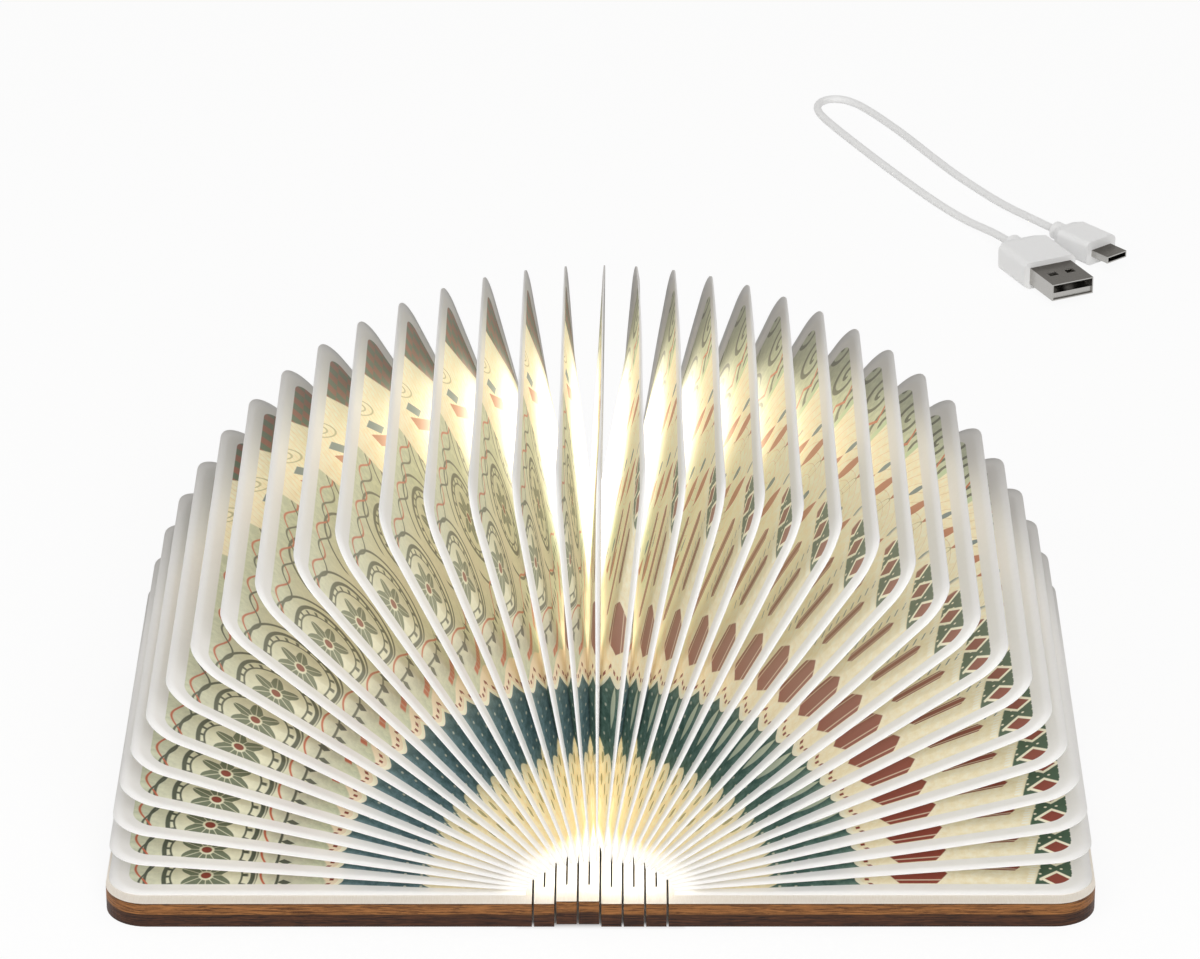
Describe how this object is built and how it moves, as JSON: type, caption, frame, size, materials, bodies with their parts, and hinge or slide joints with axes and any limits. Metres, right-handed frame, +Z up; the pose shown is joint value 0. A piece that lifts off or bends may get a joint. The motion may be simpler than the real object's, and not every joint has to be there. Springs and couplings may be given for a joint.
{
  "type": "folding book lamp",
  "caption": "Wooden book that opens flat on a slit, bending spine into a lit half-round fan of folded paper pages, with a light bar inside and a short charging cable.",
  "frame": {"origin": "on the table under the middle of the spine", "axes": "+X to the right across the open book, +Y from the near edge to the far edge along the spine, +Z up through the fan"},
  "size_m": [0.2405, 0.454, 0.1016],
  "materials": {
    "cover_wood": "open-grained walnut-brown laminated board, laser-burnt edges, pale inner face",
    "spine_wood": "the same board, cut into bending strips",
    "page_paper": "matt white folded paper rim",
    "printed_paper": null,
    "bar_plastic": "satin white",
    "frosted_cover": "frosted, lit",
    "battery_foil": "laminated foil pouch",
    "circuit_board": "solder mask",
    "led_board": "white solder mask",
    "led_chip": "yellow phosphor",
    "magnet": "nickel plate",
    "plug_steel": "satin nickel-plated",
    "cable_jacket": "soft satin white",
    "plug_plastic": "satin white"
  },
  "bodies": {
    "spine": {"hinge_strip_3": "spine_wood", "hinge_strip_4": "spine_wood", "light_bar_tray": "bar_plastic", "battery_cell": "battery_foil", "control_board": "circuit_board", "led_board": "led_board", "led_chips": "led_chip", "diffuser": "frosted_cover", "charging_socket": "plug_steel", "bellows_left": "printed_paper", "bellows_right": "printed_paper", "charging_cable": "cable_jacket", "usb_a_grip": "plug_plastic", "usb_a_shell": "plug_steel", "micro_usb_grip": "plug_plastic", "micro_usb_shell": "plug_steel"},
    "strip_2": {"hinge_strip_2": "spine_wood"},
    "strip_1": {"hinge_strip_1": "spine_wood"},
    "left_cover": {"left_cover": "cover_wood", "magnets_left": "magnet", "page_01": "page_paper"},
    "strip_5": {"hinge_strip_5": "spine_wood"},
    "strip_6": {"hinge_strip_6": "spine_wood"},
    "right_cover": {"right_cover": "cover_wood", "magnets_right": "magnet", "page_36": "page_paper"},
    "page_02": {"page_02": "page_paper"},
    "page_03": {"page_03": "page_paper"},
    "page_04": {"page_04": "page_paper"},
    "page_05": {"page_05": "page_paper"},
    "page_06": {"page_06": "page_paper"},
    "page_07": {"page_07": "page_paper"},
    "page_08": {"page_08": "page_paper"},
    "page_09": {"page_09": "page_paper"},
    "page_10": {"page_10": "page_paper"},
    "page_11": {"page_11": "page_paper"},
    "page_12": {"page_12": "page_paper"},
    "page_13": {"page_13": "page_paper"},
    "page_14": {"page_14": "page_paper"},
    "page_15": {"page_15": "page_paper"},
    "page_16": {"page_16": "page_paper"},
    "page_17": {"page_17": "page_paper"},
    "page_18": {"page_18": "page_paper"},
    "page_19": {"page_19": "page_paper"},
    "page_20": {"page_20": "page_paper"},
    "page_21": {"page_21": "page_paper"},
    "page_22": {"page_22": "page_paper"},
    "page_23": {"page_23": "page_paper"},
    "page_24": {"page_24": "page_paper"},
    "page_25": {"page_25": "page_paper"},
    "page_26": {"page_26": "page_paper"},
    "page_27": {"page_27": "page_paper"},
    "page_28": {"page_28": "page_paper"},
    "page_29": {"page_29": "page_paper"},
    "page_30": {"page_30": "page_paper"},
    "page_31": {"page_31": "page_paper"},
    "page_32": {"page_32": "page_paper"},
    "page_33": {"page_33": "page_paper"},
    "page_34": {"page_34": "page_paper"},
    "page_35": {"page_35": "page_paper"}
  },
  "joints": [
    {"name": "left_fold", "type": "hinge", "parent": "strip_1", "child": "left_cover", "pos_m": [-0.0141, 0, 0.0055], "axis": [0, 1, 0], "range_deg": [0, 30], "deforming": ["bellows_left"]},
    {"name": "left_bend_1", "type": "hinge", "parent": "spine", "child": "strip_2", "pos_m": [-0.0047, 0, 0.0055], "axis": [0, 1, 0], "range_deg": [0, 30]},
    {"name": "left_bend_2", "type": "hinge", "parent": "strip_2", "child": "strip_1", "pos_m": [-0.0094, 0, 0.0055], "axis": [0, 1, 0], "range_deg": [0, 30]},
    {"name": "right_fold", "type": "hinge", "parent": "strip_6", "child": "right_cover", "pos_m": [0.0141, 0, 0.0055], "axis": [0, -1, 0], "range_deg": [0, 30], "deforming": ["bellows_right", "bellows_left"]},
    {"name": "right_bend_1", "type": "hinge", "parent": "spine", "child": "strip_5", "pos_m": [0.0047, 0, 0.0055], "axis": [0, -1, 0], "range_deg": [0, 30]},
    {"name": "right_bend_2", "type": "hinge", "parent": "strip_5", "child": "strip_6", "pos_m": [0.0094, 0, 0.0055], "axis": [0, -1, 0], "range_deg": [0, 30]},
    {"name": "page_02_turn", "type": "hinge", "parent": "left_cover", "child": "page_02", "pos_m": [-0.00952, 0, 0.00473], "axis": [0, -1, 0], "range_deg": [0, 4.42]},
    {"name": "page_03_turn", "type": "hinge", "parent": "left_cover", "child": "page_03", "pos_m": [-0.01176, 0, 0.00473], "axis": [0, -1, 0], "range_deg": [0, 8.94]},
    {"name": "page_04_turn", "type": "hinge", "parent": "left_cover", "child": "page_04", "pos_m": [-0.01245, 0, 0.0047], "axis": [0, -1, 0], "range_deg": [0, 13.63]},
    {"name": "page_05_turn", "type": "hinge", "parent": "left_cover", "child": "page_05", "pos_m": [-0.01274, 0, 0.00471], "axis": [0, -1, 0], "range_deg": [0, 18.56]},
    {"name": "page_06_turn", "type": "hinge", "parent": "left_cover", "child": "page_06", "pos_m": [-0.01283, 0, 0.00476], "axis": [0, -1, 0], "range_deg": [0, 23.77]},
    {"name": "page_07_turn", "type": "hinge", "parent": "left_cover", "child": "page_07", "pos_m": [-0.01281, 0, 0.00486], "axis": [0, -1, 0], "range_deg": [0, 29.25]},
    {"name": "page_08_turn", "type": "hinge", "parent": "left_cover", "child": "page_08", "pos_m": [-0.0127, 0, 0.005], "axis": [0, -1, 0], "range_deg": [0, 34.98]},
    {"name": "page_09_turn", "type": "hinge", "parent": "left_cover", "child": "page_09", "pos_m": [-0.01252, 0, 0.00518], "axis": [0, -1, 0], "range_deg": [0, 40.9]},
    {"name": "page_10_turn", "type": "hinge", "parent": "left_cover", "child": "page_10", "pos_m": [-0.01229, 0, 0.00538], "axis": [0, -1, 0], "range_deg": [0, 46.94]},
    {"name": "page_11_turn", "type": "hinge", "parent": "left_cover", "child": "page_11", "pos_m": [-0.012, 0, 0.0056], "axis": [0, -1, 0], "range_deg": [0, 53.01]},
    {"name": "page_12_turn", "type": "hinge", "parent": "left_cover", "child": "page_12", "pos_m": [-0.01167, 0, 0.00584], "axis": [0, -1, 0], "range_deg": [0, 59.02]},
    {"name": "page_13_turn", "type": "hinge", "parent": "left_cover", "child": "page_13", "pos_m": [-0.01129, 0, 0.00607], "axis": [0, -1, 0], "range_deg": [0, 64.88]},
    {"name": "page_14_turn", "type": "hinge", "parent": "left_cover", "child": "page_14", "pos_m": [-0.01089, 0, 0.00631], "axis": [0, -1, 0], "range_deg": [0, 70.53]},
    {"name": "page_15_turn", "type": "hinge", "parent": "left_cover", "child": "page_15", "pos_m": [-0.01046, 0, 0.00654], "axis": [0, -1, 0], "range_deg": [0, 75.94]},
    {"name": "page_16_turn", "type": "hinge", "parent": "left_cover", "child": "page_16", "pos_m": [-0.01001, 0, 0.00676], "axis": [0, -1, 0], "range_deg": [0, 81.09]},
    {"name": "page_17_turn", "type": "hinge", "parent": "left_cover", "child": "page_17", "pos_m": [-0.00954, 0, 0.00698], "axis": [0, -1, 0], "range_deg": [0, 85.99]},
    {"name": "page_18_turn", "type": "hinge", "parent": "left_cover", "child": "page_18", "pos_m": [-0.00906, 0, 0.00721], "axis": [0, -1, 0], "range_deg": [0, 90.7]},
    {"name": "page_19_turn", "type": "hinge", "parent": "right_cover", "child": "page_19", "pos_m": [0.00916, 0, 0.0064], "axis": [0, 1, 0], "range_deg": [0, 84.73]},
    {"name": "page_20_turn", "type": "hinge", "parent": "right_cover", "child": "page_20", "pos_m": [0.00962, 0, 0.0062], "axis": [0, 1, 0], "range_deg": [0, 80.22]},
    {"name": "page_21_turn", "type": "hinge", "parent": "right_cover", "child": "page_21", "pos_m": [0.01006, 0, 0.00604], "axis": [0, 1, 0], "range_deg": [0, 75.7]},
    {"name": "page_22_turn", "type": "hinge", "parent": "right_cover", "child": "page_22", "pos_m": [0.01049, 0, 0.00589], "axis": [0, 1, 0], "range_deg": [0, 71.1]},
    {"name": "page_23_turn", "type": "hinge", "parent": "right_cover", "child": "page_23", "pos_m": [0.0109, 0, 0.00575], "axis": [0, 1, 0], "range_deg": [0, 66.38]},
    {"name": "page_24_turn", "type": "hinge", "parent": "right_cover", "child": "page_24", "pos_m": [0.01129, 0, 0.00562], "axis": [0, 1, 0], "range_deg": [0, 61.49]},
    {"name": "page_25_turn", "type": "hinge", "parent": "right_cover", "child": "page_25", "pos_m": [0.01165, 0, 0.00549], "axis": [0, 1, 0], "range_deg": [0, 56.44]},
    {"name": "page_26_turn", "type": "hinge", "parent": "right_cover", "child": "page_26", "pos_m": [0.01198, 0, 0.00536], "axis": [0, 1, 0], "range_deg": [0, 51.24]},
    {"name": "page_27_turn", "type": "hinge", "parent": "right_cover", "child": "page_27", "pos_m": [0.01227, 0, 0.00524], "axis": [0, 1, 0], "range_deg": [0, 45.92]},
    {"name": "page_28_turn", "type": "hinge", "parent": "right_cover", "child": "page_28", "pos_m": [0.01252, 0, 0.00512], "axis": [0, 1, 0], "range_deg": [0, 40.53]},
    {"name": "page_29_turn", "type": "hinge", "parent": "right_cover", "child": "page_29", "pos_m": [0.01271, 0, 0.00502], "axis": [0, 1, 0], "range_deg": [0, 35.14]},
    {"name": "page_30_turn", "type": "hinge", "parent": "right_cover", "child": "page_30", "pos_m": [0.01284, 0, 0.00495], "axis": [0, 1, 0], "range_deg": [0, 29.8]},
    {"name": "page_31_turn", "type": "hinge", "parent": "right_cover", "child": "page_31", "pos_m": [0.01289, 0, 0.0049], "axis": [0, 1, 0], "range_deg": [0, 24.54]},
    {"name": "page_32_turn", "type": "hinge", "parent": "right_cover", "child": "page_32", "pos_m": [0.01284, 0, 0.00487], "axis": [0, 1, 0], "range_deg": [0, 19.41]},
    {"name": "page_33_turn", "type": "hinge", "parent": "right_cover", "child": "page_33", "pos_m": [0.01261, 0, 0.00487], "axis": [0, 1, 0], "range_deg": [0, 14.41]},
    {"name": "page_34_turn", "type": "hinge", "parent": "right_cover", "child": "page_34", "pos_m": [0.01199, 0, 0.00488], "axis": [0, 1, 0], "range_deg": [0, 9.53]},
    {"name": "page_35_turn", "type": "hinge", "parent": "right_cover", "child": "page_35", "pos_m": [0.00992, 0, 0.00485], "axis": [0, 1, 0], "range_deg": [0, 4.74]}
  ],
  "couplings": [
    {"joint": "left_bend_1", "follows": "left_fold", "ratio": 1},
    {"joint": "left_bend_2", "follows": "left_fold", "ratio": 1},
    {"joint": "right_bend_1", "follows": "right_fold", "ratio": 1},
    {"joint": "right_bend_2", "follows": "right_fold", "ratio": 1},
    {"joint": "page_02_turn", "follows": "left_fold", "ratio": 0.14742},
    {"joint": "page_03_turn", "follows": "left_fold", "ratio": 0.29796},
    {"joint": "page_04_turn", "follows": "left_fold", "ratio": 0.45437},
    {"joint": "page_05_turn", "follows": "left_fold", "ratio": 0.61872},
    {"joint": "page_06_turn", "follows": "left_fold", "ratio": 0.79218},
    {"joint": "page_07_turn", "follows": "left_fold", "ratio": 0.97487},
    {"joint": "page_08_turn", "follows": "left_fold", "ratio": 1.1659},
    {"joint": "page_09_turn", "follows": "left_fold", "ratio": 1.3633},
    {"joint": "page_10_turn", "follows": "left_fold", "ratio": 1.5647},
    {"joint": "page_11_turn", "follows": "left_fold", "ratio": 1.767},
    {"joint": "page_12_turn", "follows": "left_fold", "ratio": 1.9672},
    {"joint": "page_13_turn", "follows": "left_fold", "ratio": 2.1626},
    {"joint": "page_14_turn", "follows": "left_fold", "ratio": 2.3511},
    {"joint": "page_15_turn", "follows": "left_fold", "ratio": 2.5313},
    {"joint": "page_16_turn", "follows": "left_fold", "ratio": 2.7029},
    {"joint": "page_17_turn", "follows": "left_fold", "ratio": 2.8664},
    {"joint": "page_18_turn", "follows": "left_fold", "ratio": 3.0234},
    {"joint": "page_19_turn", "follows": "right_fold", "ratio": 2.8242},
    {"joint": "page_20_turn", "follows": "right_fold", "ratio": 2.674},
    {"joint": "page_21_turn", "follows": "right_fold", "ratio": 2.5234},
    {"joint": "page_22_turn", "follows": "right_fold", "ratio": 2.3701},
    {"joint": "page_23_turn", "follows": "right_fold", "ratio": 2.2126},
    {"joint": "page_24_turn", "follows": "right_fold", "ratio": 2.0498},
    {"joint": "page_25_turn", "follows": "right_fold", "ratio": 1.8813},
    {"joint": "page_26_turn", "follows": "right_fold", "ratio": 1.7079},
    {"joint": "page_27_turn", "follows": "right_fold", "ratio": 1.5306},
    {"joint": "page_28_turn", "follows": "right_fold", "ratio": 1.3511},
    {"joint": "page_29_turn", "follows": "right_fold", "ratio": 1.1714},
    {"joint": "page_30_turn", "follows": "right_fold", "ratio": 0.99324},
    {"joint": "page_31_turn", "follows": "right_fold", "ratio": 0.81811},
    {"joint": "page_32_turn", "follows": "right_fold", "ratio": 0.647},
    {"joint": "page_33_turn", "follows": "right_fold", "ratio": 0.48027},
    {"joint": "page_34_turn", "follows": "right_fold", "ratio": 0.31757},
    {"joint": "page_35_turn", "follows": "right_fold", "ratio": 0.15795}
  ]
}
